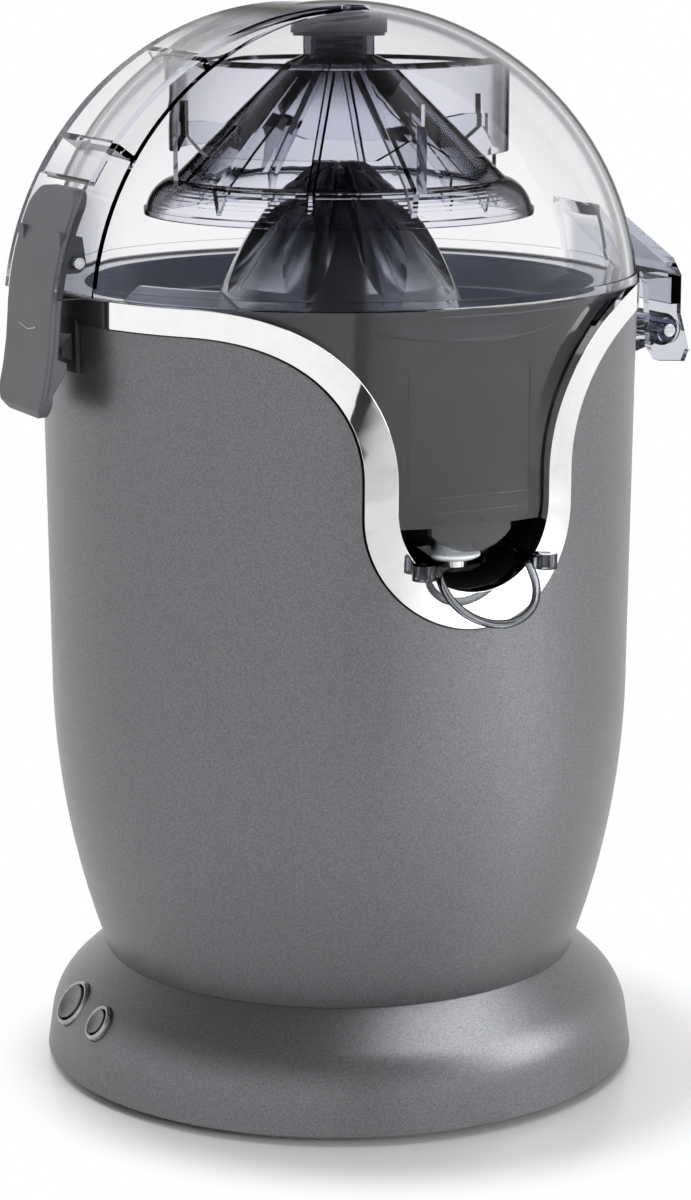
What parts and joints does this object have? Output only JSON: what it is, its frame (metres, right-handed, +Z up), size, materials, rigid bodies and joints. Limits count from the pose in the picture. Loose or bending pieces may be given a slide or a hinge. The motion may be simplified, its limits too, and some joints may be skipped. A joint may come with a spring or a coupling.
{
  "type": "electric citrus juicer",
  "caption": "Countertop electric citrus juicer with a painted barrel body, chrome-trimmed front opening, clear domed press lid, rising reamer, smoky collector and lever tap.",
  "frame": {"origin": "on the table under the spindle axis, at the middle of the rubber foot ring", "axes": "+Z up along the spindle, -Y to the tap, -X to the latch and buttons, +X to the lid hinge"},
  "size_m": [0.1978, 0.1801, 0.294],
  "materials": {
    "paint": "satin metallic grey paint",
    "chrome": "polished plating",
    "steel": "plain",
    "black": "fine texture",
    "smoke": "smoky, see-through",
    "clear": "clear, slightly smoky",
    "grey": "matte",
    "rubber": "matte",
    "brass": "plain",
    "white": "plain",
    "silicone": "soft white",
    "board": "circuit board"
  },
  "bodies": {
    "juicer_body": {"base_shell": "paint", "base_plate": "black", "foot_ring": "rubber", "base_screws": "steel", "body_screws": "steel", "cord_gland": "rubber", "control_board": "board", "start_bezel": "grey", "start_switch": "black", "reset_bezel": "grey", "reset_switch": "black", "body_shell": "paint", "chrome_trim": "chrome", "inner_liner": "black", "latch_catch": "black", "hinge_bracket": "smoke", "hinge_pin": "steel", "hinge_screws": "steel", "chassis_plate": "steel", "lower_posts": "steel", "upper_posts": "steel", "motor_can": "steel", "motor_cap": "black", "motor_screws": "steel", "gear_plate": "steel", "idler_pin": "steel", "output_bush": "brass", "gear_cover": "black", "cover_screws": "steel", "lift_nut": "brass", "spindle_bush": "brass", "shaft_seal": "rubber", "collector": "smoke", "strainer": "smoke", "tap_pins": "steel"},
    "lid": {"lid_dome": "clear", "press_guide": "clear", "press_hub": "grey", "press_screw": "steel", "press_spring": "steel", "latch_pin": "steel"},
    "press": {"press_cone": "clear"},
    "latch": {"latch_lever": "grey"},
    "output": {"output_gear": "white"},
    "reamer_set": {"spindle": "steel", "reamer": "smoke", "reamer_hub": "black"},
    "compound": {"compound_gear": "white"},
    "rotor": {"motor_rotor": "steel", "motor_pinion": "brass"},
    "start": {"start_button": "steel"},
    "reset": {"reset_button": "steel"},
    "tap": {"tap_lever": "clear", "tap_stopper": "silicone", "stopper_ring": "chrome"}
  },
  "joints": [
    {"name": "lid_hinge", "type": "hinge", "parent": "juicer_body", "child": "lid", "pos_m": [0.097, 0, 0.2008], "axis": [0, 1, 0], "range_deg": [0, 100]},
    {"name": "press_float", "type": "slide", "parent": "lid", "child": "press", "axis": [0, 0, 1], "range_m": [0, 0.004], "stiffness_N_per_m": 400, "springref_m": -0.003, "deforming": ["press_spring"]},
    {"name": "latch_pivot", "type": "hinge", "parent": "lid", "child": "latch", "pos_m": [-0.0833, 0, 0.229], "axis": [0, 1, 0], "range_deg": [0, 12]},
    {"name": "output_spin", "type": "hinge", "parent": "juicer_body", "child": "output", "pos_m": [0, 0, 0.137], "axis": [0, 0, 1], "continuous": true},
    {"name": "reamer_lift", "type": "slide", "parent": "output", "child": "reamer_set", "axis": [0, 0, 1], "range_m": [0, 0.018]},
    {"name": "compound_spin", "type": "hinge", "parent": "juicer_body", "child": "compound", "pos_m": [0, 0.03, 0.13], "axis": [0, 0, 1], "continuous": true},
    {"name": "rotor_spin", "type": "hinge", "parent": "juicer_body", "child": "rotor", "pos_m": [0, 0, 0.08], "axis": [0, 0, 1], "continuous": true},
    {"name": "start_press", "type": "slide", "parent": "juicer_body", "child": "start", "axis": [0.8192, 0, -0.5736], "range_m": [0, 0.0015], "stiffness_N_per_m": 300, "springref_m": -0.001},
    {"name": "reset_press", "type": "slide", "parent": "juicer_body", "child": "reset", "axis": [0.8192, 0, -0.5736], "range_m": [0, 0.0015], "stiffness_N_per_m": 300, "springref_m": -0.001},
    {"name": "tap_pivot", "type": "hinge", "parent": "juicer_body", "child": "tap", "pos_m": [0, -0.057, 0.1585], "axis": [-1, 0, 0], "range_deg": [0, 12]}
  ],
  "couplings": [
    {"joint": "compound_spin", "follows": "output_spin", "ratio": -4},
    {"joint": "rotor_spin", "follows": "output_spin", "ratio": 16}
  ]
}
